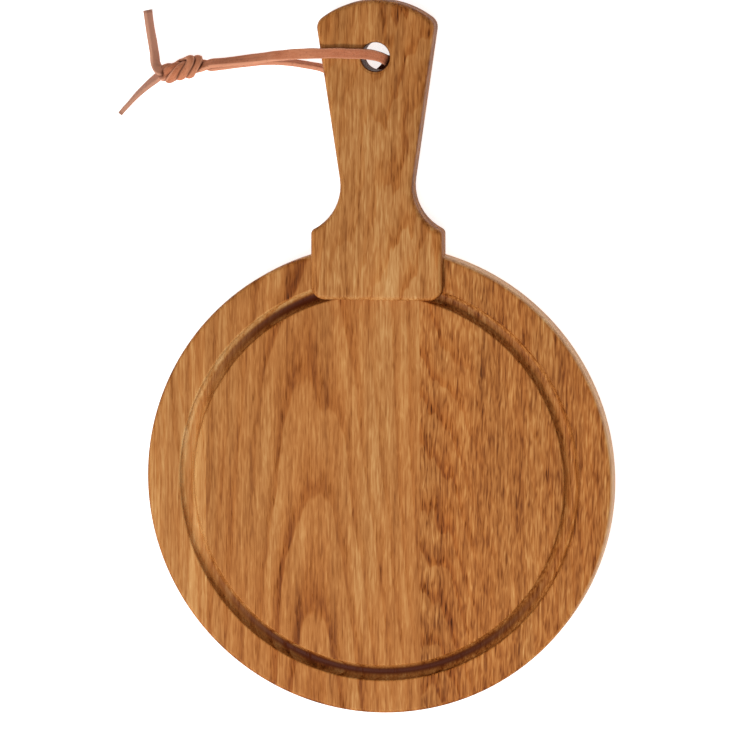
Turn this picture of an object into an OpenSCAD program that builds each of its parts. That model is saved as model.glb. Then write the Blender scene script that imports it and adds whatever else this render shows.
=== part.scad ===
// Round oak serving board with a lapped handle and a leather hanging thong.
// It lies flat. The origin is the middle of the disc's underside, Z is up and the handle points along Y.

/* [Board disc] */
// Diameter of the round disc
disc_d = 230; // [200:1:280]
// Thickness of the disc
disc_t = 14; // [12:0.5:20]
// Radius of the rounded rim, top and bottom
rim_r = 2; // [0.5:0.25:3]

/* [Planks] */
// Distance of the left glue line from the middle of the disc
left_joint_x = 85.5; // [70:0.5:90]
// Distance of the right glue line from the middle of the disc
right_joint_x = 20.5; // [20:0.5:60]

/* [Groove] */
// Distance of the groove's middle line from the rim
groove_inset = 20; // [16:0.5:30]
// Width of the groove between its lips
groove_w = 7.2; // [6:0.2:12]
// Depth of the groove
groove_depth = 3.4; // [2:0.1:4]
// Radius of the softened lips of the groove
groove_lip_r = 0.9; // [0.4:0.1:1.5]

/* [Handle] */
// Length of the handle from its lower edge on the disc to its tip
handle_l = 146; // [130:1:170]
// Thickness of the handle
handle_t = 16; // [14:0.5:20]
// Height of the handle's face above the disc's face
handle_rise = 5; // [3:0.5:7]
// Radius of the handle's rounded edges
handle_edge_r = 2.5; // [1:0.25:2.75]
// Width of the base, where the handle lies on the disc
base_w = 64.4; // [58:0.2:72]
// Radius of the base's lower corners
base_corner_r = 6.5; // [4:0.5:10]
// Radius of the shoulder corners
shoulder_r = 3; // [2.9:0.1:4]
// Width of the neck at its narrowest
neck_w = 35.4; // [32:0.2:40]
// Distance of the narrowest place from the tip
neck_from_tip = 90.4; // [85:0.2:98]
// Radius of the hollow curve between neck and shoulder
flare_r = 23.5; // [21:0.5:27]
// Angle by which each side of the grip leans outward
grip_lean = 8.4; // [6:0.2:10]
// Radius of the curved top end
crown_r = 44; // [40:1:60]
// Radius of the two corners of the top end
crown_corner_r = 6; // [4:0.5:8]

/* [Hanging hole] */
// Diameter of the hanging hole
hole_d = 14; // [13:0.5:16]
// Distance of the hole from the tip
hole_from_tip = 27.5; // [26:0.5:30]
// Radius of the rounded lips of the hole
hole_lip_r = 1.5; // [0.5:0.25:2]

/* [Lap joint] */
// Length of the handle that lies over the disc
lap_l = 26; // [22:0.5:32]
// Depth of the recess in the disc that the handle is glued into
housing_depth = 5; // [4:0.5:6]
// Gap at the upright walls of the glued joint
glue_gap = 0.1; // [0.05:0.05:0.3]

/* [Dowels] */
// Diameter of the hidden dowels
dowel_d = 8; // [6:0.5:8]
// Length of each dowel
dowel_l = 11; // [8:0.5:12]
// Chamfer of the dowel ends
dowel_chamfer = 0.6; // [0.3:0.1:1]
// Gap round a dowel in its hole
dowel_gap = 0.05; // [0:0.05:0.1]
// Room for glue past each dowel end
dowel_end_gap = 0.5; // [0.25:0.25:1]
// Spacing of the dowels across the handle
dowel_pitch_x = 24; // [18:1:30]
// Spacing of the dowels along the handle
dowel_pitch_y = 11; // [9:0.5:11]
// Distance of the first row of dowels from the lower edge of the handle
dowel_inset = 8; // [7:0.5:9]

/* [Thong] */
// Width of the flat leather lace
lace_w = 5; // [4:0.2:5.2]
// Thickness of the lace
lace_t = 2.2; // [1.6:0.1:2.4]
// Bevel at the lace's edges
lace_bevel = 0.4; // [0.2:0.1:0.7]
// Diameter of the knot
knot_d = 13.2; // [12.5:0.1:13.6]
// Width of the knot's flat ends, where the strands enter
knot_end_d = 10.8; // [10.4:0.1:12]
// Depth of the two creases round the knot
knot_crease = 0.9; // [0.4:0.1:1.5]

/* [Hidden] */
// How far every cut runs past the surface that it opens
overrun = 10;
// Steps in the arcs of the outlines
lip_steps = 4;
groove_steps = 14;
edge_steps = 5;
crown_steps = 12;
corner_steps = 6;
flare_steps = 10;
dowel_count = 4;
knot_steps = 16;

disc_r = disc_d / 2;
handle_top = disc_t + handle_rise;
handle_bottom = handle_top - handle_t;
lap_edge = disc_r - lap_l;
tip = lap_edge + handle_l;
hole_at = tip - hole_from_tip;
neck_at = tip - neck_from_tip;
housing_floor = disc_t - housing_depth;

// Route of the lace, one list for each stretch: X, Y, Z and the compass angle of the lace's width
top_route = [[4.8, 205.3, 10.85, 65], [4.8, 205.6, 14.8, 66], [4.3, 206.3, 17, 69],
             [3.1, 207.2, 18.8, 73], [1.3, 208, 20, 78], [-1, 208.6, 20.4, 82], [-7, 209.1, 20.4, 86],
             [-15, 209.3, 20.4, 89], [-25, 209.2, 20.4, 90], [-33, 209, 20.4, 92],
             [-39, 208.7, 19.2, 95], [-46, 207.8, 16, 98], [-57, 206.2, 12, 99],
             [-68, 204.6, 9.4, 98], [-78, 203.4, 8, 95], [-87, 202.6, 7.6, 90]];
lower_route = [[4.8, 205.3, 10.85, 65], [4.7, 204.9, 7, 55], [3.9, 204, 3.8, 30],
               [2.2, 201.2, 1.5, -14], [-2, 197.8, 1.3, -47], [-8, 195.2, 1.3, -78],
               [-15, 195.8, 1.3, -97], [-22, 198.2, 1.3, -106], [-28.5, 200.8, 1.3, -103],
               [-35, 202.6, 1.6, -98], [-42, 203.6, 2.8, -94], [-50, 204.2, 4.2, -90],
               [-59, 204.2, 5, -87], [-69, 203.4, 5, -84], [-78, 202.4, 4.8, -86],
               [-87, 201.4, 4.8, -90]];
upper_end_route = [[-107, 198.8, 7.6, 90], [-109.4, 200, 6.5, 62], [-111, 202.6, 3.4, 22],
                   [-111.7, 207, 1.8, 8], [-112.8, 213.5, 1.3, 10], [-114, 221, 1.3, 9],
                   [-115, 228.5, 1.3, 8]];
lower_end_route = [[-107, 197.8, 4.8, 90], [-110.6, 195.4, 3.4, 126], [-115.6, 191.4, 1.9, 130],
                   [-120.6, 186.9, 1.3, 134], [-125, 182.2, 1.3, 136], [-129, 177.8, 1.3, 138]];
knot_right = top_route[len(top_route) - 1];
knot_left = upper_end_route[0];
knot_y = 200.4;

function arc(c, r, a0, a1, n) = [for (i = [0 : n]) c + r * [cos(a0 + (a1 - a0) * i / n),
                                                            sin(a0 + (a1 - a0) * i / n)]];
function mirrored(pts) = [for (i = [len(pts) - 1 : -1 : 0]) [-pts[i][0], pts[i][1]]];
function slope_of(v) = atan2(v[1], v[0]);

// Half section of the disc: flat underside, rounded rim, and the groove with a lip on each side
groove_r = (groove_w * groove_w / 4 + groove_depth * groove_depth) / (2 * groove_depth);
groove_c = [disc_r - groove_inset, disc_t + groove_r - groove_depth];
lip_rise = groove_c[1] - disc_t + groove_lip_r;
lip_reach = sqrt(pow(groove_r + groove_lip_r, 2) - lip_rise * lip_rise);
lip_angle = atan2(lip_rise, lip_reach);
disc_section = concat(
    [[0, 0]],
    arc([disc_r - rim_r, rim_r], rim_r, -90, 0, edge_steps),
    arc([disc_r - rim_r, disc_t - rim_r], rim_r, 0, 90, edge_steps),
    arc([groove_c[0] + lip_reach, disc_t - groove_lip_r], groove_lip_r, 90, 180 - lip_angle, lip_steps),
    arc(groove_c, groove_r, -lip_angle, lip_angle - 180, groove_steps),
    arc([groove_c[0] - lip_reach, disc_t - groove_lip_r], groove_lip_r, lip_angle, 90, lip_steps),
    [[0, disc_t]]);

// Outline of the handle, drawn in by a given inset: crown, corner, grip, hollow, shoulder and base
crown_c = [0, tip - crown_r];
flare_c = [neck_w / 2 + flare_r, neck_at];
grip_foot = flare_c + flare_r * [-cos(grip_lean), sin(grip_lean)];
grip_way = [sin(grip_lean), cos(grip_lean)];
corner_line = grip_foot + crown_corner_r * [-cos(grip_lean), sin(grip_lean)] - crown_c;
corner_run = -corner_line * grip_way
    + sqrt(pow(corner_line * grip_way, 2) - corner_line * corner_line
           + pow(crown_r - crown_corner_r, 2));
corner_c = crown_c + corner_line + corner_run * grip_way;
shoulder_x = base_w / 2 - shoulder_r;
shoulder_c = [shoulder_x,
              neck_at - sqrt(pow(flare_r + shoulder_r, 2) - pow(flare_c[0] - shoulder_x, 2))];
base_c = [base_w / 2 - base_corner_r, lap_edge + base_corner_r];
crown_end = slope_of(corner_c - crown_c);
shoulder_way = slope_of(flare_c - shoulder_c);

function handle_half(inset) = concat(
    arc(crown_c, crown_r - inset, 90, crown_end, crown_steps),
    arc(corner_c, crown_corner_r - inset, crown_end, -grip_lean, corner_steps),
    arc(flare_c, flare_r + inset, 180 - grip_lean, 180 + shoulder_way, flare_steps),
    arc(shoulder_c, shoulder_r - inset, shoulder_way, 0, corner_steps),
    arc(base_c, base_corner_r - inset, 0, -90, corner_steps));
function handle_ring(inset, z) = let (half = handle_half(inset), other = mirrored(half))
    [for (p = concat(half, [for (i = [0 : len(other) - 2]) other[i]])) [p[0], p[1], z]];
// Rings from the underside up: rounded lower edge, upright sides, rounded upper edge
handle_rings = concat(
    [for (i = [0 : edge_steps]) let (a = 90 * i / edge_steps)
        handle_ring(handle_edge_r * (1 - sin(a)), handle_bottom + handle_edge_r * (1 - cos(a)))],
    [for (i = [edge_steps : -1 : 0]) let (a = 90 * i / edge_steps)
        handle_ring(handle_edge_r * (1 - sin(a)), handle_top - handle_edge_r * (1 - cos(a)))]);

// Plan of the recess for the handle: its base, grown by the glue gap, open past the rim
function recess_plan(grow) = concat(
    [[-base_w / 2 - grow, disc_r + overrun]],
    arc([-base_c[0], base_c[1]], base_corner_r + grow, 180, 270, corner_steps),
    arc(base_c, base_corner_r + grow, 270, 360, corner_steps),
    [[base_w / 2 + grow, disc_r + overrun]]);

// Skin over a stack of rings with equal counts, split into triangles, with flat ends
function side_faces(rings, n) = concat(
    [for (i = [0 : rings - 2], j = [0 : n - 1]) let (k = (j + 1) % n)
        [i * n + j, (i + 1) * n + j, (i + 1) * n + k]],
    [for (i = [0 : rings - 2], j = [0 : n - 1]) let (k = (j + 1) % n)
        [i * n + j, (i + 1) * n + k, i * n + k]]);
function skin_faces(rings, n) = concat(
    [[for (j = [0 : n - 1]) j]],
    side_faces(rings, n),
    [[for (j = [n - 1 : -1 : 0]) (rings - 1) * n + j]]);
// The same with ends laid in strips between mirrored points, for rings that are symmetric about X = 0
function strip_cap(n) = concat(
    [for (i = [0 : (n - 3) / 2]) [i, i + 1, n - i - 1]],
    [for (i = [1 : (n - 3) / 2]) [i, n - i - 1, n - i]]);
function strip_skin_faces(rings, n) = concat(
    strip_cap(n),
    side_faces(rings, n),
    [for (f = strip_cap(n)) [f[2], f[1], f[0]] + (rings - 1) * n * [1, 1, 1]]);
function flat_list(lists) = [for (l = lists) for (p = l) p];

// Eight-sided section of the flat lace, across its width and its thickness
lace_half = [lace_w / 2, lace_t / 2];
lace_section = [[lace_half[0], lace_half[1] - lace_bevel], [lace_half[0] - lace_bevel, lace_half[1]],
                [lace_bevel - lace_half[0], lace_half[1]], [-lace_half[0], lace_half[1] - lace_bevel],
                [-lace_half[0], lace_bevel - lace_half[1]], [lace_bevel - lace_half[0], -lace_half[1]],
                [lace_half[0] - lace_bevel, -lace_half[1]], [lace_half[0], lace_bevel - lace_half[1]]];
function unit(v) = v / norm(v);
function place(p) = [p[0], p[1], p[2]];
function route_way(route, i, first, last) =
    i == 0 ? first : i == len(route) - 1 ? last
    : unit(unit(place(route[i + 1]) - place(route[i])) + unit(place(route[i]) - place(route[i - 1])));
function lace_ring(p, way) =
    let (side = [cos(p[3]), sin(p[3]), 0], across = unit(side - (side * way) * way), up = cross(way, across))
    [for (q = lace_section) place(p) + q[0] * across + q[1] * up];

module lace(route, first, last) {
    rings = [for (i = [0 : len(route) - 1]) lace_ring(route[i], route_way(route, i, first, last))];
    color("peru")
    polyhedron(flat_list(rings), skin_faces(len(route), len(lace_section)), convexity = 4);
}

module dowel_place(i) {
    side = i % 2 * 2 - 1;
    row = floor(i / 2);
    translate([side * dowel_pitch_x / 2, lap_edge + dowel_inset + row * dowel_pitch_y, housing_floor])
    children();
}

module dowel_holes() {
    for (i = [0 : dowel_count - 1])
        dowel_place(i)
        cylinder(d = dowel_d + 2 * dowel_gap, h = dowel_l + 2 * dowel_end_gap, center = true, $fn = 48);
}

module disc_body() {
    difference() {
        rotate_extrude($fn = 180) polygon(disc_section);
        translate([0, 0, housing_floor])
        linear_extrude(height = housing_depth + overrun) polygon(recess_plan(glue_gap));
        dowel_holes();
    }
}

// The part of the disc between two upright glue lines
module plank(from_x, to_x) {
    intersection() {
        disc_body();
        translate([from_x, -disc_r - overrun, -overrun])
        cube([to_x - from_x, disc_d + 2 * overrun, disc_t + 2 * overrun]);
    }
}

module plank_left() {
    color([0.74, 0.53, 0.33]) plank(-disc_r - overrun, -left_joint_x);
}

module plank_middle() {
    color([0.70, 0.46, 0.25]) plank(-left_joint_x, right_joint_x);
}

module plank_right() {
    color([0.65, 0.41, 0.22]) plank(right_joint_x, disc_r + overrun);
}

// Lip of the hole at a face that lies at height zero: two cones that follow a quarter circle
module hole_lip() {
    hole_r = hole_d / 2;
    near = hole_lip_r * (1 - cos(45));
    far = hole_lip_r * sin(45);
    translate([0, 0, -hole_lip_r])
    cylinder(r1 = hole_r, r2 = hole_r + 2 * near, h = 2 * far, $fn = 72);
    translate([0, 0, -near])
    cylinder(r1 = hole_r + near, r2 = hole_r + near + 2 * far, h = 2 * near, $fn = 72);
}

// Hole for the thong: a bore with a softened lip at each face
module hanging_hole() {
    translate([0, hole_at, handle_bottom - overrun])
    cylinder(d = hole_d, h = handle_t + 2 * overrun, $fn = 72);
    translate([0, hole_at, handle_top]) hole_lip();
    translate([0, hole_at, handle_bottom]) mirror([0, 0, 1]) hole_lip();
}

module handle() {
    color([0.69, 0.47, 0.27])
    difference() {
        polyhedron(flat_list(handle_rings), strip_skin_faces(len(handle_rings), len(handle_rings[0])),
                   convexity = 6);
        translate([0, 0, housing_floor - overrun - disc_t])
        cylinder(r = disc_r + glue_gap, h = overrun + disc_t, $fn = 180);
        hanging_hole();
        dowel_holes();
    }
}

module dowel(i) {
    half = dowel_l / 2;
    color([0.86, 0.74, 0.55])
    dowel_place(i)
    rotate_extrude($fn = 48)
    polygon([[0, -half], [dowel_d / 2 - dowel_chamfer, -half], [dowel_d / 2, dowel_chamfer - half],
             [dowel_d / 2, half - dowel_chamfer], [dowel_d / 2 - dowel_chamfer, half], [0, half]]);
}

module thong_top_strand() {
    lace(top_route, [0, 0, 1], [-1, 0, 0]);
}

module thong_lower_strand() {
    lace(lower_route, [0, 0, -1], [-1, 0, 0]);
}

// Knot as one body of three swells, lying along X between its two flat ends
module thong_knot() {
    length = knot_right[0] - knot_left[0];
    swell = (knot_d - knot_end_d) / 2;
    section = concat([[0, 0]],
        [for (i = [0 : knot_steps]) let (s = i / knot_steps)
            [knot_end_d / 2 + swell * sin(180 * s) - knot_crease * pow(sin(540 * s), 2) * sin(180 * s),
             s * length]],
        [[0, length]]);
    color("sienna")
    translate([knot_left[0], knot_y, knot_d / 2])
    rotate([0, 90, 0])
    rotate_extrude($fn = 48) polygon(section);
}

module thong_upper_end() {
    lace(upper_end_route, [-1, 0, 0], [0, 1, 0]);
}

module thong_lower_end() {
    lace(lower_end_route, [-1, 0, 0], unit([-1, -1.1, 0]));
}

plank_left();
plank_middle();
plank_right();
handle();
for (i = [0 : dowel_count - 1])
    dowel(i);
thong_top_strand();
thong_lower_strand();
thong_knot();
thong_upper_end();
thong_lower_end();
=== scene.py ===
"""Round serving board: three glued oak planks, a lapped oak handle and a knotted leather lace."""
import functools
import math

import bpy
import numpy as np
from mathutils import Matrix, Vector


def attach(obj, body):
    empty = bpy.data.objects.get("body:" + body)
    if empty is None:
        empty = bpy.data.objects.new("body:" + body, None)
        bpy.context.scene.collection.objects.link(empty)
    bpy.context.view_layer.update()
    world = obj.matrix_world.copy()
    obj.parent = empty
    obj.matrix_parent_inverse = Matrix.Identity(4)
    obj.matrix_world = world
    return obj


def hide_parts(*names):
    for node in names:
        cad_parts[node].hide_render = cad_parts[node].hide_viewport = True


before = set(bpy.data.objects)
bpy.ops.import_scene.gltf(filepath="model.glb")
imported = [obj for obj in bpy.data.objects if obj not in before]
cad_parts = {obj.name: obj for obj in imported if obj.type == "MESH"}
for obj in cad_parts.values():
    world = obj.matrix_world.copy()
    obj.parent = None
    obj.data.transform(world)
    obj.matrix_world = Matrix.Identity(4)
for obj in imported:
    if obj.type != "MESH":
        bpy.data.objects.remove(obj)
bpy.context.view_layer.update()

MM = 0.001
TINY = 1e-9
WHITE = (1.0, 1.0, 1.0, 1.0)

# Camera: its picture in pixels, its sensor in millimetres, its place in metres
PICTURE_SIDE = 736
SENSOR = 36.0
FOCAL_PX = 6164.5
PRINCIPAL_PX = (377.48, 359.13)
CAMERA_TARGET = Vector((0.0, 0.060, 0.015))
CAMERA_DISTANCE = 3.0
CAMERA_TILT = math.radians(11.47)
CAMERA_SIDE = math.radians(36.7)
CAMERA_ROLL = math.radians(-0.229)
CAMERA_NEAR = 0.05
CAMERA_FAR = 50.0


def make_camera():
    """The photograph's viewpoint: nearly straight above, a little to the right and towards the handle."""
    back = Vector((math.sin(CAMERA_TILT) * math.cos(CAMERA_SIDE),
                   math.sin(CAMERA_TILT) * math.sin(CAMERA_SIDE), math.cos(CAMERA_TILT)))
    across = Vector((0, 1, 0)).cross(back).normalized()
    up = back.cross(across)
    turn_c, turn_s = math.cos(CAMERA_ROLL), math.sin(CAMERA_ROLL)
    right = across * turn_c + up * turn_s
    top = up * turn_c - across * turn_s
    data = bpy.data.cameras.new("camera")
    data.sensor_width = SENSOR
    data.lens = FOCAL_PX / PICTURE_SIDE * SENSOR
    data.shift_x = (PICTURE_SIDE / 2 - PRINCIPAL_PX[0]) / PICTURE_SIDE
    data.shift_y = (PRINCIPAL_PX[1] - PICTURE_SIDE / 2) / PICTURE_SIDE
    data.clip_start = CAMERA_NEAR
    data.clip_end = CAMERA_FAR
    camera = bpy.data.objects.new("camera", data)
    bpy.context.scene.collection.objects.link(camera)
    turned = Matrix((right, top, back)).transposed().to_4x4()
    camera.matrix_world = Matrix.Translation(CAMERA_TARGET + back * CAMERA_DISTANCE) @ turned
    bpy.context.scene.camera = camera


# Lace: all in millimetres until its mesh is made
LACE_W = 5.0
LACE_T = 2.2
LACE_STEP = 0.6
TABLE_GAP = 0.02

# Cut sections, outside the knot and in it: width, thickness, corner radius, swell of the broad faces
LACE_SECTION = (LACE_W, LACE_T, 0.45, 0.0)
KNOT_SECTION = (3.9, 1.9, 0.45, 0.55)
CORNER_ANGLES = (0.0, math.pi / 4, math.pi / 2)
FACE_SHARES = (0.5, 0.0, -0.5)

# x, y, z in millimetres, the compass angle of the lace's width and its roll about its own line
TOP_ROUTE = [
    [4.8, 205.3, 10.85, 65], [4.8, 205.6, 14.8, 66], [4.3, 206.3, 17, 69], [3.1, 207.2, 18.8, 73],
    [1.3, 208, 20, 78], [-1, 208.6, 20.4, 82], [-7, 209.1, 20.4, 86], [-15, 209.3, 20.4, 89],
    [-25, 209.2, 20.4, 90], [-33, 209, 20.4, 92], [-39, 208.7, 19.2, 95, 8], [-46, 207.8, 16, 98, 18],
    [-57, 206.2, 12, 99, 34], [-68, 204.6, 9.4, 98, 46], [-78, 203.4, 8, 95, 52]]
LOWER_ROUTE = [
    [4.8, 205.3, 10.85, 65], [4.7, 204.9, 7, 55], [3.9, 204, 3.8, 30], [2.2, 201.2, 1.5, -14],
    [-2, 197.8, 1.3, -47], [-8, 195.2, 1.4, -78, 8], [-15, 195.8, 2.2, -97, 35], [-22, 198.2, 2.7, -106, 58],
    [-28.5, 200.8, 2.8, -103, 70], [-35, 202.1, 2.9, -98, 73], [-42, 203.2, 3.3, -94, 72],
    [-50, 204, 4.1, -90, 66], [-59, 204, 5, -87, 60], [-69, 203, 5, -84, 56], [-78, 201.9, 4.8, -86, 50]]
UPPER_END_ROUTE = [
    [-109.4, 200, 6, 62, 30], [-111, 202.6, 4.2, 22, 50], [-111.7, 207, 3.1, 8, 60],
    [-112.8, 213.5, 2.8, 10, 63], [-114, 221, 2.8, 9, 64], [-115, 228.5, 2.8, 8, 64]]
LOWER_END_ROUTE = [
    [-110.6, 195.4, 3.6, 126, 48], [-115.6, 191.4, 2.9, 130, 62],
    [-120.6, 186.9, 2.8, 134, 72], [-125, 182.2, 2.8, 136, 80], [-129, 177.8, 2.8, 138, 84]]

# The overhand knot before it is pulled tight: the middle of its two strands, x, y, z from the knot's middle
KNOT_MIDDLE = np.array([-97.0, 199.9, 6.6])
LOOSE_KNOT = [
    [14, -1, 0], [10, -3, -2.5], [7, 0, -4.6], [4.5, 3.4, -3], [2.8, 4.8, 0], [1.6, 3.2, 3.6], [0, 0, 5],
    [-1.6, -3.2, 3.6], [-2.8, -4.8, 0], [-4.5, -3.4, -3], [-6.5, 0, -4.6], [-8.5, 3.6, -3.6], [-9, 6, -3],
    [-7, 7.4, -6], [0, 7.6, -8.6], [7, 7.4, -6], [9.4, 6, -2.6], [9, 4, 1.6], [7.4, 2.4, 4], [6, 0, 4.8],
    [4.4, -3.2, 3.4], [2.8, -4.8, 0], [1.6, -3.2, -3.6], [0, 0, -5], [-1.6, 3.2, -3.6], [-2.8, 4.8, 0],
    [-4.4, 3.2, 3.4], [-6, 0.6, 4.8], [-8.6, -1.4, 3.6], [-14, -2.6, 1]]
LOOSE_STEP = 0.15

# Where each strand goes into the knot and comes out, in the board's millimetres
TOP_KNOT_ENDS = [[-83, 202.9, 7.8], [-87, 202.3, 7.4], [-107.6, 199, 6.8]]
LOWER_KNOT_ENDS = [[-83, 201.3, 4.8], [-87, 201, 4.6], [-108, 197.2, 4.4]]

# Each strand lies STRAND_OFFSET beside the loose knot's middle. The two meet over its first and last
# fifteenth, and its first and last tenth give way to the places above
STRAND_OFFSET = 1.9
MEET_PARTS = 15
END_PARTS = 10

# Pulling tight: the step along the strands, how near their middles should come, at the last a little nearer,
# and how much of a strand is too near its own place to count. A pull is a number of rounds and its tension
KNOT_STEP = 1.0
KNOT_APART = 3.1
LAST_EASE = 0.1
KNOT_NEAR = 4.6
KNOT_TABLE = 1.3
ROUNDS_TO_EVEN = 5
PUSHES = 4
PUSH_SHARE = 0.22
PUSH_MOST = 0.5
FIRM_PULL = (450, 0.5)
GENTLE_PULL = (150, 0.25)
LAST_PULL = (60, 0.15)

# The wraps' middle from the knot's, how far they lean, widen, rise and move, and how long the ends resist it
WRAP_MIDDLE = (0.3, 0.6, 0.0)
WRAP_LEAN = 1.05
WRAP_SPREAD = 0.2
WRAP_RISE = 0.15
WRAP_SHIFT = (-2.6, -0.8)
WRAP_HOLD = 12.0

# The knot on the lace: the axis that its broad faces look away from, and how the lace changes towards it
KNOT_AXIS = ((-87.0, 202.0, 6.2), (-107.8, 198.2, 5.6))
KNOT_CORE = 2.2
KNOT_BLEND = 5.0
KNOT_ROW_STEP = 2.0
MOUTH_ROWS = 3

# Curves: points reckoned between two rows, any direction off the line, and how gently its faces turn
SPAN_POINTS = 40
ANY_WAY = (0.3, 0.5, 0.8)
TURN_BLEND = 4.0

# Painted shade in creases: where it begins and is full, what counts as the same stretch, the cut rows and the
# bore
CREASE_FAR = 3.0
CREASE_DEEP = 1.9
SAME_STRETCH = 6.0
CUT_TIP = 0.4
CUT_ROWS = 3
BORE_MIDDLE = (0.0, 207.5)
BORE_REACH = 7.5
BORE_TOP = 19.5
BORE_FADE = 4.0

# Unevenness of the cut: its size, the windows that smooth it, in rows, and the random values for each row
WANDER = 0.05
WANDER_SHORT = 13
WANDER_LONG = 61
WANDER_VALUES = 4


def run_of(points):
    """The length along a line at each of its points."""
    return np.concatenate([[0], np.cumsum(np.linalg.norm(np.diff(points, axis=0), axis=1))])


def ways_of(points):
    """The unit direction of a line at each of its points."""
    ways = np.gradient(points, axis=0)
    return ways / np.linalg.norm(ways, axis=1)[:, None]


def evenly(rows, step):
    """Rows that start with x, y, z, worked out again at places step apart along their line."""
    run = run_of(rows[:, :3])
    even = np.linspace(0, run[-1], round(run[-1] / step) + 1)
    return np.stack([np.interp(even, run, column) for column in rows.T], 1)


def through(points, step):
    """A smooth curve through points, as rows step apart, and its length.

    A row is x, y, z and its place in the points' numbering. The curve runs slower where the points are near.
    """
    gaps = np.linalg.norm(np.diff(points, axis=0), axis=1) ** 0.5
    paces = np.concatenate([[0], np.cumsum(gaps)])
    slopes = np.gradient(points, paces, axis=0)
    fine = []
    for i, pace in enumerate(np.diff(paces)):
        t = np.linspace(0, 1, SPAN_POINTS, endpoint=False)[:, None]
        start, leave = 2 * t**3 - 3 * t**2 + 1, t**3 - 2 * t**2 + t
        end, arrive = -2 * t**3 + 3 * t**2, t**3 - t**2
        curve = (start * points[i] + leave * pace * slopes[i]
                 + end * points[i + 1] + arrive * pace * slopes[i + 1])
        fine.append(np.hstack([curve, i + t]))
    fine.append(np.array([[*points[-1], len(points) - 1]]))
    fine = np.vstack(fine)
    return evenly(fine, step), run_of(fine[:, :3])[-1]


def smoothed(values, length):
    """Each column averaged over a bell-shaped window about length points long."""
    window = np.hanning(2 * (length // 2) + 3)
    window /= window.sum()
    pad = len(window) // 2
    padded = [np.pad(column, pad, mode="edge") for column in values.T]
    return np.stack([np.convolve(column, window, "valid") for column in padded], 1)


def route_rows(route):
    """Route rows as points and unit normals of the lace's broad face."""
    points = np.array([row[:3] for row in route], float)
    ways = ways_of(points)
    angles = np.radians([row[3] for row in route])
    rolls = np.radians([row[4] if len(row) > 4 else 0.0 for row in route])[:, None]
    sides = np.stack([np.cos(angles), np.sin(angles), np.zeros(len(route))], 1)
    normals = np.cross(ways, sides)
    normals /= np.linalg.norm(normals, axis=1)[:, None]
    normals = normals * np.cos(rolls) + np.cross(ways, normals) * np.sin(rolls)
    return points, normals


def pull_tight(strands, pull, apart):
    """Shortens two strands whose ends are held, and pushes apart what comes nearer than apart."""
    rounds, tension = pull
    for turn in range(rounds):
        for strand in strands:
            strand[1:-1] += tension * ((strand[:-2] + strand[2:]) / 2 - strand[1:-1])
        if turn % ROUNDS_TO_EVEN == 0:
            strands = [evenly(strand, KNOT_STEP) for strand in strands]
        sizes = [len(strand) for strand in strands]
        points = np.vstack(strands)
        owner = np.repeat([0, 1], sizes)
        place = np.concatenate([np.arange(size) for size in sizes]) * KNOT_STEP
        near = (owner[:, None] == owner) & (np.abs(place[:, None] - place) < KNOT_NEAR)
        held = [0, 1, sizes[0] - 1, sizes[0], sizes[0] + 1, len(points) - 1]
        for _ in range(PUSHES):
            gaps = points[:, None] - points
            spans = np.linalg.norm(gaps, axis=2) + TINY
            short = np.where(near, 0, np.maximum(apart - spans, 0))
            push = PUSH_SHARE * (gaps * (short / spans)[..., None]).sum(1)
            push *= np.minimum(1, PUSH_MOST / (np.linalg.norm(push, axis=1) + TINY))[:, None]
            push[held] = 0
            points += push
            points[:, 2] = np.maximum(points[:, 2], KNOT_TABLE)
        strands = [points[: sizes[0]].copy(), points[sizes[0]:].copy()]
    return strands


def lean_over(strand):
    """Leans the wraps of the knot to the right and spreads them, as the photograph shows; the ends stay."""
    run = run_of(strand)
    share = np.clip(np.minimum(run, run[-1] - run) / WRAP_HOLD, 0, 1)
    share = share * share * (3 - 2 * share)
    away = strand - KNOT_MIDDLE - WRAP_MIDDLE
    strand[:, 0] += share * (WRAP_LEAN * away[:, 1] + WRAP_SPREAD * away[:, 0] + WRAP_SHIFT[0])
    strand[:, 1] += share * (WRAP_RISE * away[:, 1] + WRAP_SHIFT[1])
    return evenly(strand, KNOT_STEP)


def tie_knot():
    """The lines of the two strands through the knot: laid side by side along the loose knot, then pulled."""
    middle = through(np.array(LOOSE_KNOT, float), LOOSE_STEP)[0][:, :3]
    beside = np.cross(ways_of(middle), middle * (0, 1, 1))
    beside /= np.linalg.norm(beside, axis=1)[:, None] + TINY
    count = len(middle)
    from_end = np.minimum(np.arange(count), count - 1 - np.arange(count))
    share = np.clip(from_end / (count / MEET_PARTS), 0, 1)[:, None]
    inner = slice(count // END_PARTS, count - count // END_PARTS)
    strands = []
    for sign, ends in ((1, TOP_KNOT_ENDS), (-1, LOWER_KNOT_ENDS)):
        laid = KNOT_MIDDLE + middle + sign * STRAND_OFFSET * beside * share
        strands.append(evenly(np.vstack([ends[:2], laid[inner], ends[2:]]), KNOT_STEP))
    strands = pull_tight(strands, FIRM_PULL, KNOT_APART)
    strands = pull_tight(strands, GENTLE_PULL, KNOT_APART)
    return pull_tight([lean_over(strand) for strand in strands], LAST_PULL, KNOT_APART - LAST_EASE)


def knot_normals(points):
    """Normals that look away from the knot's axis at each point; none (zero) in its core."""
    start, end = np.array(KNOT_AXIS)
    axis = (end - start) / np.linalg.norm(end - start)
    out = points - start
    out -= (out @ axis)[:, None] * axis
    reach = np.linalg.norm(out, axis=1)[:, None]
    return np.where(reach > KNOT_CORE, out / np.maximum(reach, TINY), 0.0)


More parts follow.
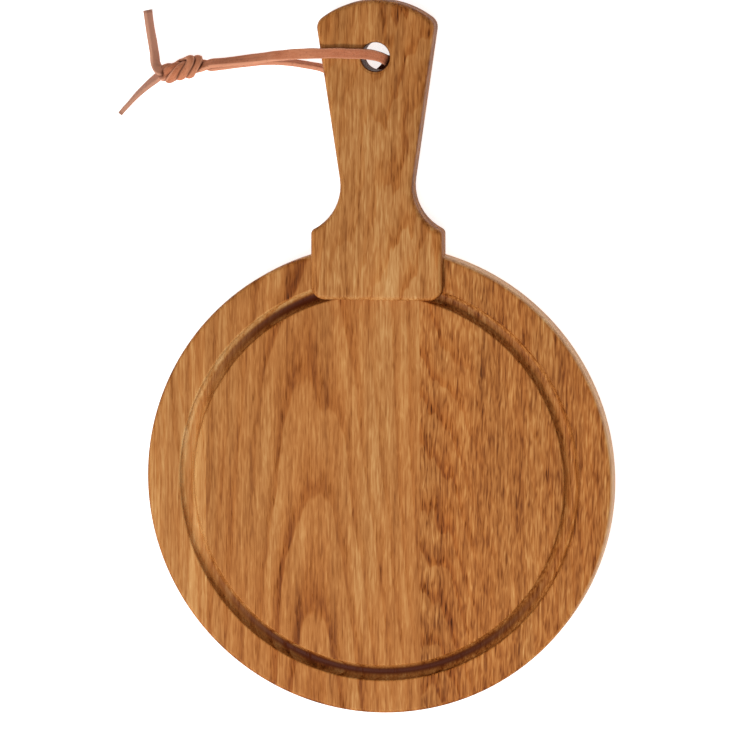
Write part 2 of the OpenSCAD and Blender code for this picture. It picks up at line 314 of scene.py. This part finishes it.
def lace_section(width, thick, corner, belly):
    """The lace's cut section: a rounded rectangle whose broad faces swell by belly at their middle."""
    right = width / 2 - corner
    corners = [(right + corner * math.cos(angle), thick / 2 - corner + corner * math.sin(angle))
               for angle in CORNER_ANGLES]
    flat = [(share * right, thick / 2 + belly * (1 - share * share)) for share in FACE_SHARES]
    half = corners + flat + [(-x, y) for x, y in reversed(corners)]
    return np.array(half + [(-x, -y) for x, y in half])


def lace_normals(ways, rank, wanted):
    """Normals along the lace that pass through the wanted ones without a jump; front and back are alike."""
    carried = [np.cross(ways[0], ANY_WAY)]
    for way in ways:
        level = carried[-1] - (carried[-1] @ way) * way
        carried.append(level / np.linalg.norm(level))
    carried = np.array(carried[1:])
    other = np.cross(ways, carried)
    places, angles = [], []
    for row, normal in enumerate(wanted):
        if not normal.any():
            continue
        i = min(int(np.searchsorted(rank, row)), len(rank) - 1)
        angle = math.atan2(normal @ other[i], normal @ carried[i])
        if angles:
            angle += math.pi * round((angles[-1] - angle) / math.pi)
        places.append(row)
        angles.append(angle)
    turn = smoothed(np.interp(rank, places, angles)[:, None], round(TURN_BLEND / LACE_STEP))
    return np.cos(turn) * carried + np.sin(turn) * other


def wander_of(count, seed):
    """Small changes of the cut section from row to row; three of the values are used."""
    draws = np.random.default_rng(seed).normal(0, 1, (count, WANDER_VALUES))
    wander = smoothed(np.cumsum(draws, axis=0), WANDER_SHORT)
    wander -= smoothed(wander, WANDER_LONG)
    return WANDER * wander / (wander.std(0) + TINY)


def lace_rings(place, ways, face, squeeze, wander):
    """The cut section set at every place of the lace's line, ring after ring; squeeze is 1 in the knot."""
    side = np.cross(face, ways)
    rings = []
    for i, spot in enumerate(place):
        section = lace_section(*(a + (b - a) * squeeze[i] for a, b in zip(LACE_SECTION, KNOT_SECTION)))
        ring_side = section[:, 0] + np.sign(section[:, 0]) * wander[i, 0] + wander[i, 1]
        ring_face = section[:, 1] * (1 + wander[i, 2])
        rings.append(spot + ring_side[:, None] * side[i] + ring_face[:, None] * face[i])
    verts = np.vstack(rings)
    verts[:, 2] = np.maximum(verts[:, 2], TABLE_GAP)
    return verts


def crease_shade_depth(verts, place, ring, other_place):
    """The painted shade at each vertex, from 0 to 1: how near it is to another stretch of lace and how deep
    it lies in the bore; the cut tip's rows get a fixed darkening.
    """
    owner = np.repeat(np.arange(len(place)), ring)
    apart = np.linalg.norm(verts[:, None] - other_place[None], axis=2).min(1)
    own = np.linalg.norm(verts[:, None] - place[None], axis=2)
    own[np.abs(owner[:, None] - np.arange(len(place))) * LACE_STEP < SAME_STRETCH] = np.inf
    apart = np.minimum(apart, own.min(1))
    crease = np.clip((CREASE_FAR - apart) / (CREASE_FAR - CREASE_DEEP), 0, 1)
    crease[-CUT_ROWS * ring:] = CUT_TIP
    in_bore = np.linalg.norm(verts[:, :2] - BORE_MIDDLE, axis=1) < BORE_REACH
    return np.maximum(crease, in_bore * np.clip((BORE_TOP - verts[:, 2]) / BORE_FADE, 0, 1))


def tube_faces(count, ring):
    """The faces of a tube of count rings with ring vertices each, and of its two ends."""
    faces = []
    for i in range(count - 1):
        for j in range(ring):
            k = (j + 1) % ring
            faces.append((i * ring + j, i * ring + k, (i + 1) * ring + k, (i + 1) * ring + j))
    faces.append(tuple(range(ring - 1, -1, -1)))
    faces.append(tuple((count - 1) * ring + j for j in range(ring)))
    return faces


def unroll(mesh, count, ring):
    """A UV map of the tube's side: metres along the lace, and the share of the way round it."""
    outline = lace_section(*LACE_SECTION)
    around = run_of(np.vstack([outline, outline[:1]]))
    around /= around[-1]
    uv = mesh.uv_layers.new(name="lace")
    for poly in mesh.polygons[: (count - 1) * ring]:
        i, j = divmod(poly.index, ring)
        for loop, (di, dj) in zip(poly.loop_indices, ((0, 0), (0, 1), (1, 1), (1, 0))):
            uv.data[loop].uv = ((i + di) * LACE_STEP * MM, around[j + dj])


def make_lace(name, line, length, wanted, knot_span, other_line, material, node_names, seed):
    """One strand of the lace as a mesh tube along its line; between the two knot_span rows it is squeezed."""
    place, rank = line[:, :3], line[:, 3]
    ways = ways_of(place)
    face = lace_normals(ways, rank, wanted)
    inside = ((rank > knot_span[0]) & (rank < knot_span[1])).astype(float)
    squeeze = smoothed(inside[:, None], round(KNOT_BLEND / LACE_STEP))[:, 0]
    count = len(place)
    verts = lace_rings(place, ways, face, squeeze, wander_of(count, seed))
    ring = len(verts) // count
    creases = crease_shade_depth(verts, place, ring, other_line[:, :3])
    mesh = bpy.data.meshes.new(name)
    mesh.from_pydata([tuple(vert) for vert in verts * MM], [], tube_faces(count, ring))
    mesh.update()
    mesh.polygons.foreach_set("use_smooth", [True] * len(mesh.polygons))
    shade = mesh.attributes.new("lace_crease_shade", "FLOAT", "POINT")
    shade.data.foreach_set("value", creases.astype(np.float32))
    unroll(mesh, count, ring)
    mesh.materials.append(material)
    piece = bpy.data.objects.new(name, mesh)
    bpy.context.scene.collection.objects.link(piece)
    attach(piece, "thong")
    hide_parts(*node_names)


def make_laces(material):
    """The two strands of the one lace, from the hole through the knot to their ends."""
    top_knot, lower_knot = tie_knot()
    made = []
    for first, knot, last in ((TOP_ROUTE, top_knot, UPPER_END_ROUTE),
                              (LOWER_ROUTE, lower_knot, LOWER_END_ROUTE)):
        knot = evenly(knot, KNOT_ROW_STEP)
        first, first_normals = route_rows(first)
        last, last_normals = route_rows(last)
        normals = knot_normals(knot)
        normals[:MOUTH_ROWS] = first_normals[-1]
        normals[-MOUTH_ROWS:] = last_normals[0]
        line, length = through(np.vstack([first, knot, last]), LACE_STEP)
        knot_span = (len(first) + MOUTH_ROWS, len(first) + len(knot) - 1 - MOUTH_ROWS)
        made.append((line, length, np.vstack([first_normals, normals, last_normals]), knot_span))
    make_lace("lace_top_strand", *made[0], made[1][0], material,
              ("thong_top_strand", "thong_upper_end", "thong_knot"), seed=3)
    make_lace("lace_lower_strand", *made[1], made[0][0], material,
              ("thong_lower_strand", "thong_lower_end"), seed=4)


# Materials: places in metres. A range is what Graph.fit takes: where a smooth step starts and ends, and then,
# if it isn't from 0 to 1, what it goes from and to. Colours in whole numbers are a picture's, from 0 to 255

# The Mix node's sockets by number, because its colour sockets share their names with others
MIX_FACTOR, MIX_UNDER, MIX_OVER, MIX_RESULT = 0, 6, 7, 2


class Graph:
    """Adds shader nodes to one material and joins them."""

    def __init__(self, name):
        self.material = bpy.data.materials.new(name)
        self.material.use_nodes = True
        self.tree = self.material.node_tree
        self.tree.nodes.clear()

    def node(self, kind, wires=(), **settings):
        """A new node; wires gives its input sockets, by name or number, a link or a fixed value."""
        node = self.tree.nodes.new("ShaderNode" + kind)
        for key, value in settings.items():
            setattr(node, key, value)
        for socket, value in dict(wires).items():
            if isinstance(value, bpy.types.NodeSocket):
                self.tree.links.new(value, node.inputs[socket])
            else:
                node.inputs[socket].default_value = value
        return node

    def maths(self, operation, *values):
        """One step of arithmetic."""
        return self.node("Math", enumerate(values), operation=operation).outputs[0]

    def plus(self, *values):
        """The values added up, from the first on."""
        return functools.reduce(functools.partial(self.maths, "ADD"), values)

    def minus(self, value, less):
        """The first value less the second."""
        return self.maths("SUBTRACT", value, less)

    def times(self, *values):
        """The values multiplied, from the first on."""
        return functools.reduce(functools.partial(self.maths, "MULTIPLY"), values)

    def length(self, a, b):
        """How far the point (a, b) is from (0, 0)."""
        return self.maths("SQRT", self.plus(self.times(a, a), self.times(b, b)))

    def split(self, place):
        """The three parts of a place."""
        return tuple(self.node("SeparateXYZ", {"Vector": place}).outputs)

    def noise(self, place, scale, detail, roughness, distortion=0.0):
        """Noise from 0 to 1, alike in all directions, with scale cells to the unit."""
        node = self.node("TexNoise", {"Vector": place, "Scale": scale, "Detail": detail,
                                      "Roughness": roughness, "Distortion": distortion})
        return node.outputs["Fac"]

    def stretched_noise(self, place, scales, detail, roughness, distortion=0.0):
        """Noise from 0 to 1 with its own number of cells to the unit for each direction."""
        scaled = self.node("VectorMath", {0: place, 1: scales}, operation="MULTIPLY").outputs[0]
        return self.noise(scaled, 1.0, detail, roughness, distortion)

    def ramp(self, value, stops, mode="LINEAR"):
        """A colour, or a grey given as one number, for each value from 0 to 1."""
        node = self.node("ValToRGB", {"Fac": value})
        node.color_ramp.interpolation = mode
        elements = node.color_ramp.elements
        while len(elements) < len(stops):
            elements.new(0.5)
        for element, (place, colour) in zip(elements, stops):
            element.position = place
            element.color = (*colour, 1.0) if isinstance(colour, tuple) else (colour, colour, colour, 1.0)
        return node.outputs["Color"]

    def fit(self, value, low, high, to_low=0.0, to_high=1.0):
        """A smooth step from to_low, where value is low, to to_high at high; low may be the larger."""
        node = self.node("MapRange", {"Value": value, "From Min": low, "From Max": high,
                                      "To Min": to_low, "To Max": to_high}, clamp=True,
                         interpolation_type="SMOOTHSTEP")
        return node.outputs["Result"]

    def mix(self, factor, under, over, blend="MIX"):
        """The fixed colour over on the link under, by factor."""
        wires = {MIX_FACTOR: factor, MIX_UNDER: under, MIX_OVER: (*over, 1.0)}
        return self.node("Mix", wires, data_type="RGBA", blend_type=blend).outputs[MIX_RESULT]

    def finish(self, colour, roughness, height, bump_distance, bump_strength, **constants):
        """The finished material; constants are fixed values for the shader's own sockets."""
        bump = self.node("Bump", {"Height": height, "Distance": bump_distance, "Strength": bump_strength})
        shader = self.node("BsdfPrincipled", {"Base Color": colour, "Roughness": roughness,
                                              "Normal": bump.outputs[0]})
        for socket, value in constants.items():
            shader.inputs[socket.replace("_", " ")].default_value = value
        self.node("OutputMaterial", {"Surface": shader.outputs[0]})
        return self.material


def linear(red, green, blue):
    """A picture colour from 0 to 255 as the light that a shader wants, by the usual sRGB curve."""
    shares = (red / 255, green / 255, blue / 255)
    return tuple(share / 12.92 if share <= 0.04045 else ((share + 0.055) / 1.055) ** 2.4 for share in shares)


# Wood: the tones from the darkest level to the lightest, and the tints laid over them by multiplying
WOOD_TONES = ((0.0, (58, 28, 8)), (0.22, (122, 69, 27)), (0.42, (161, 103, 51)), (0.55, (179, 121, 66)),
              (0.72, (199, 148, 91)), (1.0, (228, 186, 130)))
MIDDLE_LEVEL = 0.50
WARM_TINT = (1.0, 0.87, 0.72)
WARM_RANGE = (-0.12, 0.12, 0.0, 0.6)
EARLY_TINT = (1.0, 0.78, 0.45)
EARLY_SHARE = 0.6
RED_TINT = (1.0, 0.88, 0.72)

# Noise along the grain: cells per metre across it and along it, then detail, roughness and distortion where
# they aren't what grain in oak takes
SWAY_NOISE = (13.0, 5.0, 1.0)
RIPPLE_NOISE = (70.0, 16.0, 3.0)
RING_NOISE = (30.0, 6.0)
PORE_NOISE = (1250.0, 120.0, 1.0, 0.4)
FIBRE_NOISE = (1900.0, 60.0, 1.0)
BLOTCH_NOISE = (26.0, 4.0, 2.0)
WIDE_STREAK_NOISE = (210.0, 7.0, 3.0, 0.6)
FINE_STREAK_NOISE = (620.0, 19.0, 2.0, 0.6)
DASH_NOISE = (1000.0, 120.0, 1.0, 0.5, 0.6)
WARM_NOISE = (60.0, 7.0, 2.0)
SEED_SHIFTS = (0.37, 0.91, 0.53)

# Rings: how far the heart line sways, the share of its ripples that the rings have too, the open early wood
# through one ring, how noise makes it fainter, and how it fades to the sides of the heart line
SWAY_WIDTH = 0.020
RING_RIPPLE_SHARE = 0.35
EARLY_STOPS = ((0.0, 0.9), (0.08, 1.0), (0.34, 0.35), (0.62, 0.0), (0.92, 0.05), (1.0, 0.9))
FAINT_RANGE = (-0.14, 0.12, 0.5, 1.0)
SIDE_RANGE = (0.018, 0.034, 1.0, 0.4)

# Pores: where the noise makes one, and how far they keep to the early wood
PORE_RANGE = (0.09, 0.20)
PORES_IN_EARLY = 0.7
PORES_ELSEWHERE = 0.3

# How far each thing moves the level, where a piece says no more
STREAK_WEIGHT = 0.42
FIBRE_WEIGHT = 0.25
EARLY_WEIGHT = -0.21
PORE_WEIGHT = -0.24
DARK_SIDE_SWAY = 0.03

# The stripe of sapwood: its soft left edge, its crisp right edge, and where it is strong along the board
STRIPE_SOFT = (0.0025, 0.0015)
STRIPE_CRISP = 0.0004
STRIPE_UPPER = (0.075, 0.035, 0.3, 1.0)
STRIPE_LOWER = (-0.055, -0.015, 0.3, 1.0)

# Painted light and shade on the disc's side and the groove's lips, and a painted sheen on the side, by the
# distance from the disc's middle
RIGHT_LEAN = 0.6
RIM_RANGE = (0.1134, 0.1147)
RIM_TO_RIGHT = (-0.06, 0.08, -0.16, 0.20)
# Painted sheen on the disc's side towards the right, in a pale colour
RIM_SHEEN_RANGE = (0.1136, 0.1148)
RIM_SHEEN_TO_RIGHT = (0.03, 0.09, 0.0, 0.4)
RIM_SHEEN_COLOUR = (208, 176, 148)
LIP_IN = (0.0958, 0.0972)
LIP_OUT = (0.0996, 0.0984)
LIP_TO_UPPER_LEFT = (0.07, 0.11, 0.0, 0.28)
LIP_EDGE_IN = (0.0973, 0.0983)
LIP_EDGE_OUT = (0.1000, 0.0990)
LIP_EDGE_TO_RIGHT = (0.04, 0.08, 0.0, -0.09)

# The darkening in the groove, partly darker end grain and partly painted shade: by height, as painted shade
# deep in the groove, by the distance from the disc's middle, by how squarely the cutter crossed the grain,
# and weaker at the right
GROOVE_DEPTH_SHADE = (0.0138, 0.0120)
GROOVE_DARK_IN = (0.0912, 0.0938)
GROOVE_DARK_OUT = (0.0986, 0.0952)
GROOVE_END_GRAIN_CROSSING = (0.30, 0.95, 0.06, 1.0)
GROOVE_DARK_TO_RIGHT = (0.05, 0.10, 1.0, 0.4)
GROOVE_END_GRAIN_AND_SHADE = (68, 23, 1)

# Painted shade and dark end grain on the wall of the handle's bore: how far outside it the shade ends and is
# full, and its most
BORE_SHADE_EDGE = (0.0007, 0.0001)
BORE_SHADE = 0.85
BORE_WOOD = (112, 62, 28)

# The wood's surface
OAK_ROUGHNESS = (0.0, 0.8, 0.50, 0.75)
OAK_FIBRE_HEIGHT = 0.5
OAK_BUMP = (0.00022, 0.6)
OAK_SHEEN = 0.08

# The oak of each plank and of the handle, and the dowels' beech; oak says what the values mean
OAK_PIECES = {
    "plank_left": dict(
        name="oak_left", heart=-0.30, heart_depth=0.05, sink=0.01, ring_gap=0.0040, seed=1.7, slant=0.4,
        shade=0.08, streaks=1.2, rings=0.7, pores=0.7, stripe=(-0.0925, -0.0857, 0.09), groove=True),
    "plank_middle": dict(
        name="oak_middle", heart=-0.032, heart_depth=0.0165, sink=0.10, ring_gap=0.0060, seed=5.3, slant=0.6,
        shade=0.03, red=0.2, streaks=0.9, rings=1.25, pores=0.6, dashes=0.45, ripples=0.005, blotches=0.25,
        groove=True),
    "plank_right": dict(
        name="oak_right", heart=0.012, heart_depth=0.050, sink=0.19, ring_gap=0.0045, seed=9.1, slant=1.5,
        shade=-0.02, red=0.6, rings=0.55, pores=0.85, dashes=0.85, ripples=0.008, blotches=0.25, groove=True),
    "handle": dict(
        name="oak_handle", heart=0.03, heart_depth=0.03, sink=0.16, ring_gap=0.0055, seed=13.9, slant=1.0,
        shade=0.02, rings=0.7, pores=0.7, dashes=0.5, ripples=0.014, blotches=0.5,
        washes=((0.13, 0.10, 0.07), (0.20, 0.23, -0.03)), dark_side=(-0.016, 0.004, 0.06),
        # edge: painted shade on the handle's sides below its top; bore: a wall darkened by painted shade and
        # end grain
        edge=(0.0186, 0.0168, 0.0, -0.16), bore=(0.2075, 0.007)),
}
BEECH_DOWEL = dict(
    name="beech_dowel", heart=0.05, heart_depth=0.02, sink=0.0, ring_gap=0.0025, seed=21.3, shade=0.2,
    streaks=0.4, rings=0.5, pores=0.2)


def to_right(g, x, y):
    """Grows towards the right and, less so, towards the handle: the way that the camera leans, along which
    the painted light and shade on the disc's side, the lips and the groove change.
    """
    return g.plus(x, g.times(y, RIGHT_LEAN))


def sapwood_stripe(g, x, y, low, high, lift):
    """A lighter stripe between low and high across the board, fainter towards the disc's two ends."""
    left = g.fit(x, low - STRIPE_SOFT[0], low + STRIPE_SOFT[1])
    right = g.fit(x, high + STRIPE_CRISP, high - STRIPE_CRISP)
    strong = g.times(g.fit(y, *STRIPE_UPPER), g.fit(y, *STRIPE_LOWER))
    return g.times(g.times(left, right), strong, lift)


def painted_rim_and_lip_light(g, x, y):
    """Painted light and shade on the disc's side, lighter at the right and darker at the left, and on the
    groove's outer lip.

    The lip has a painted highlight at the upper left, and painted shade on its edge at the right.
    """
    reach = g.length(x, y)
    rim = g.times(g.fit(reach, *RIM_RANGE), g.fit(to_right(g, x, y), *RIM_TO_RIGHT))
    lip = g.times(g.fit(reach, *LIP_IN), g.fit(reach, *LIP_OUT))
    upper_left = g.fit(g.minus(y, x), *LIP_TO_UPPER_LEFT)
    lip_edge = g.times(g.fit(reach, *LIP_EDGE_IN), g.fit(reach, *LIP_EDGE_OUT))
    right = g.fit(to_right(g, x, y), *LIP_EDGE_TO_RIGHT)
    return g.plus(rim, g.plus(g.times(lip, upper_left), g.times(lip_edge, right)))


def groove_end_grain_and_shade(g, x, y, z):
    """Painted shade deep in the groove with darker end grain, strongest where the cutter crossed the grain,
    weaker at the right.
    """
    reach = g.length(x, y)
    ring = g.times(g.fit(reach, *GROOVE_DARK_IN), g.fit(reach, *GROOVE_DARK_OUT))
    crossing = g.fit(g.maths("DIVIDE", g.maths("ABSOLUTE", y), reach), *GROOVE_END_GRAIN_CROSSING)
    right = g.fit(to_right(g, x, y), *GROOVE_DARK_TO_RIGHT)
    return g.times(g.times(g.fit(z, *GROOVE_DEPTH_SHADE), ring), g.times(crossing, right))


def bore_shade(g, x, y, middle, radius):
    """Painted shade and dark oiled end grain on the wall inside a bore at (0, middle)."""
    outside, full = BORE_SHADE_EDGE
    return g.fit(g.length(x, g.minus(y, middle)), radius + outside, radius + full, 0.0, BORE_SHADE)


def oak(name, heart, heart_depth, sink, ring_gap, seed, slant=0.0, shade=0.0, red=0.0, streaks=1.0,
        rings=1.0, pores=1.0, dashes=0.35, ripples=0.012, blotches=0.35, stripe=None, washes=(),
        dark_side=None, edge=None, groove=False, bore=None):
    """Oiled oak with its grain along Y: rings round a heart line, streaks, open pores and short dashes.

    The lengths are in metres.
    heart, heart_depth, sink: where the heart line is across, how far below the underside, and how far it
        sinks for each metre along Y; ring_gap is the width of a ring
    seed, slant: this piece's own part of the noise, and its turn in degrees
    shade, red: how much lighter and redder the whole piece is
    streaks, rings, pores, dashes, ripples, blotches: how strong each is
    stripe, washes, dark_side: a lighter stripe, changes along Y, and a darker side, as low, high and how much
    edge: a range of heights that changes the level; on the handle it paints shade on its sides below the top
    groove: whether the disc's side and the groove's lips get their painted light, shade and sheen, and the
    groove its darker end grain and painted shade, on this piece
    bore: the place along Y and the radius of a bore whose wall is darkened by painted shade and end grain
    """
    g = Graph(name)
    place = g.node("TexCoord").outputs["Object"]
    x, y, z = g.split(place)
    leaned = g.node("Mapping", {"Vector": place, "Location": tuple(seed * shift for shift in SEED_SHIFTS),
                                "Rotation": (0.0, 0.0, math.radians(slant))}, vector_type="POINT").outputs[0]

    def grain(fine, long, detail=2.0, roughness=0.5, distortion=0.0):
        """Noise stretched along the grain, as a difference from its middle."""
        return g.minus(g.stretched_noise(leaned, (fine, long, fine), detail, roughness, distortion), 0.5)

    sway, ripple = grain(*SWAY_NOISE), grain(*RIPPLE_NOISE)
    across = g.plus(g.minus(x, heart), g.times(sway, SWAY_WIDTH))
    depth = g.plus(g.times(y, sink), z, heart_depth, g.times(ripple, ripples))
    reach = g.plus(g.length(across, depth), g.times(ripple, ripples * RING_RIPPLE_SHARE))
    early = g.ramp(g.maths("FRACT", g.maths("DIVIDE", reach, ring_gap)), EARLY_STOPS, "EASE")
    faint = g.fit(grain(*RING_NOISE), *FAINT_RANGE)
    early = g.times(early, faint, g.fit(g.maths("ABSOLUTE", across), *SIDE_RANGE))
    pore = g.fit(grain(*PORE_NOISE), *PORE_RANGE)
    pored = g.times(pore, g.plus(g.times(early, PORES_IN_EARLY), PORES_ELSEWHERE))
    fibre = grain(*FIBRE_NOISE)

    level = g.plus(g.times(grain(*BLOTCH_NOISE), blotches), MIDDLE_LEVEL + shade)
    for part, weight in ((grain(*WIDE_STREAK_NOISE), STREAK_WEIGHT * streaks),
                         (grain(*FINE_STREAK_NOISE), STREAK_WEIGHT * streaks), (grain(*DASH_NOISE), dashes),
                         (fibre, FIBRE_WEIGHT), (early, EARLY_WEIGHT * rings), (pored, PORE_WEIGHT * pores)):
        level = g.plus(level, g.times(part, weight))
    if stripe:
        level = g.plus(level, sapwood_stripe(g, x, y, *stripe))
    for low, high, lift in washes:
        level = g.plus(level, g.fit(y, low, high, 0.0, lift))
    if dark_side:
        low, high, drop = dark_side
        swayed = g.plus(x, g.times(sway, DARK_SIDE_SWAY))
        level = g.plus(level, g.fit(swayed, low, high, -drop, drop / 2))
    # Painted shade on the sides below the top
    if edge:
        level = g.plus(level, g.fit(z, *edge))
    # Painted light and shade on the disc's side and the groove's lips
    if groove:
        level = g.plus(level, painted_rim_and_lip_light(g, x, y))

    colour = g.ramp(level, [(at, linear(*tone)) for at, tone in WOOD_TONES])
    colour = g.mix(g.fit(grain(*WARM_NOISE), *WARM_RANGE), colour, WARM_TINT, "MULTIPLY")
    colour = g.mix(g.times(early, EARLY_SHARE), colour, EARLY_TINT, "MULTIPLY")
    if red:
        colour = g.mix(red, colour, RED_TINT, "MULTIPLY")
    if groove:
        # Painted sheen on the disc's side towards the right
        painted_rim_sheen = g.times(g.fit(g.length(x, y), *RIM_SHEEN_RANGE), g.fit(to_right(g, x, y), *RIM_SHEEN_TO_RIGHT))
        colour = g.mix(painted_rim_sheen, colour, linear(*RIM_SHEEN_COLOUR))
        # Painted shade deep in the groove, with darker end grain
        colour = g.mix(groove_end_grain_and_shade(g, x, y, z), colour, linear(*GROOVE_END_GRAIN_AND_SHADE))
    # Painted shade and dark end grain on the bore's wall
    if bore:
        colour = g.mix(bore_shade(g, x, y, *bore), colour, linear(*BORE_WOOD))
    rough = g.fit(pored, *OAK_ROUGHNESS)
    height = g.minus(g.times(fibre, OAK_FIBRE_HEIGHT), pored)
    return g.finish(colour, rough, height, *OAK_BUMP, Specular_IOR_Level=OAK_SHEEN)


# Leather: its tones, and what is laid over them in turn, as a range of how strongly and a colour
LEATHER_TONES = ((0.28, (168, 92, 56)), (0.5, (190, 110, 72)), (0.72, (202, 128, 90)))
LEATHER_LAYERS = {
    "fibres": ((0.42, 0.62, 0.0, 0.30), (142, 78, 48)),
    "cut_edge": ((0.0, 0.6, 0.0, 0.5), (222, 160, 128)),
    "nap": ((0.35, 0.7, 0.0, 0.35), (214, 152, 118)),
    "spots": ((0.60, 0.72, 0.0, 0.4), (120, 62, 38)),
    "pale_ends": ((-0.104, -0.111, 0.0, 0.55), (182, 138, 118)),
    # Painted shade in creases and down the bore, and darker cut tips
    "crease": ((0.0, 1.0, 0.0, 0.92), (84, 38, 14)),
}
CUT_EDGE_SHIFT = 0.05
FIBRES_NOISE = ((90.0, 14.0, 1.0), 3.0, 0.6)
TONE_NOISE = ((70.0, 70.0, 70.0), 3.0, 0.55)
NAP_NOISE = (2200.0, 3.0, 0.65)
SPOT_NOISE = (900.0, 2.0, 0.5)
SPOT_HEIGHT = 0.5
LEATHER_ROUGHNESS = (0.3, 0.7, 0.62, 0.85)
LEATHER_BUMP = (0.00025, 0.7)
LEATHER_SHEEN = 0.25


def leather(name):
    """Undyed salmon-tan lace: brown grain side, paler cut edges and loose ends, fibres, and painted shade in
    its creases and down the bore.
    """
    g = Graph(name)
    place = g.node("TexCoord").outputs["Object"]
    run = g.node("UVMap", uv_map="lace").outputs["UV"]
    round_it = g.split(run)[1]
    fibres = g.stretched_noise(run, *FIBRES_NOISE)
    nap = g.noise(place, *NAP_NOISE)
    spots = g.noise(place, *SPOT_NOISE)
    shares = {
        "fibres": fibres,
        "cut_edge": g.maths("COSINE", g.times(g.plus(round_it, CUT_EDGE_SHIFT), 4 * math.pi)),
        "nap": nap,
        "spots": spots,
        "pale_ends": g.split(place)[0],
        # Painted shade in creases and down the bore, read from the mesh
        "crease": g.node("Attribute", attribute_name="lace_crease_shade").outputs["Fac"],
    }
    broad = g.stretched_noise(place, *TONE_NOISE)
    colour = g.ramp(broad, [(at, linear(*tone)) for at, tone in LEATHER_TONES])
    for layer, (strength, tint) in LEATHER_LAYERS.items():
        colour = g.mix(g.fit(shares[layer], *strength), colour, linear(*tint))
    height = g.plus(nap, g.times(spots, SPOT_HEIGHT), fibres)
    rough = g.fit(nap, *LEATHER_ROUGHNESS)
    return g.finish(colour, rough, height, *LEATHER_BUMP, Specular_IOR_Level=LEATHER_SHEEN)


# Floor: a plain sheet that glows enough to stay white
FLOOR_HALF = 60.0
FLOOR_DROP = 0.0002
FLOOR_NOISE = (40.0, 2.0, 0.5)
FLOOR_TONES = ((0.0, 0.90), (1.0, 0.92))
FLOOR_ROUGHNESS = 0.9
FLOOR_BUMP = (0.0001, 0.02)
FLOOR_SHEEN = 0.1
FLOOR_GLOW = 0.75


def plain_floor():
    """The floor's plain white."""
    g = Graph("floor_white")
    fine = g.noise(g.node("TexCoord").outputs["Object"], *FLOOR_NOISE)
    return g.finish(g.ramp(fine, FLOOR_TONES), FLOOR_ROUGHNESS, fine, *FLOOR_BUMP,
                    Specular_IOR_Level=FLOOR_SHEEN, Emission_Color=WHITE, Emission_Strength=FLOOR_GLOW)


def make_floor():
    """A square floor just under the board."""
    corners = [(x * FLOOR_HALF, y * FLOOR_HALF, 0) for x, y in ((-1, -1), (1, -1), (1, 1), (-1, 1))]
    mesh = bpy.data.meshes.new("floor")
    mesh.from_pydata(corners, [], [(0, 1, 2, 3)])
    mesh.materials.append(plain_floor())
    floor = bpy.data.objects.new("floor", mesh)
    bpy.context.scene.collection.objects.link(floor)
    floor.location.z = -FLOOR_DROP


# Light: a long soft box, seen from the object at a compass angle and a height, and a wide soft one on top
KEY_COMPASS = math.radians(238.0)
KEY_HEIGHT = math.radians(52.0)
KEY_DISTANCE = 1.7
KEY_SIZE = (0.9, 0.22)
KEY_POWER = 23.0
TOP_PLACE = (0.1, -0.3, 2.4)
TOP_SIZE = 1.4
TOP_POWER = 12.0
LIGHT_AIM = Vector((0.0, 0.06, 0.0))
SKY_STRENGTH = 0.30


def area_light(name, place, size, power):
    """A round soft light of this size across that looks at the board; its data."""
    data = bpy.data.lights.new(name, "AREA")
    data.shape = "DISK"
    data.size = size
    data.energy = power
    light = bpy.data.objects.new(name, data)
    light.location = place
    light.rotation_euler = (LIGHT_AIM - Vector(place)).to_track_quat("-Z", "Y").to_euler()
    bpy.context.scene.collection.objects.link(light)
    return data


def make_light():
    """The two lights, an even sky and a plain view of both."""
    towards = Vector((math.cos(KEY_COMPASS) * math.cos(KEY_HEIGHT),
                      math.sin(KEY_COMPASS) * math.cos(KEY_HEIGHT), math.sin(KEY_HEIGHT)))
    key = area_light("key", towards * KEY_DISTANCE, KEY_SIZE[0], KEY_POWER)
    key.shape = "RECTANGLE"
    key.size, key.size_y = KEY_SIZE
    area_light("top", TOP_PLACE, TOP_SIZE, TOP_POWER)
    world = bpy.data.worlds.new("studio")
    world.use_nodes = True
    back = world.node_tree.nodes["Background"]
    back.inputs["Color"].default_value = WHITE
    back.inputs["Strength"].default_value = SKY_STRENGTH
    bpy.context.scene.world = world
    bpy.context.scene.view_settings.view_transform = "Standard"
    bpy.context.scene.view_settings.look = "None"


make_camera()
LEATHER = leather("lace_leather")
make_laces(LEATHER)
OAK = {node_name: oak(**piece) for node_name, piece in OAK_PIECES.items()}
BEECH = oak(**BEECH_DOWEL)
for node_name, node_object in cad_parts.items():
    finish = OAK.get(node_name) or (BEECH if node_name.startswith("dowel") else LEATHER)
    node_object.data.materials.clear()
    node_object.data.materials.append(finish)
make_floor()
make_light()
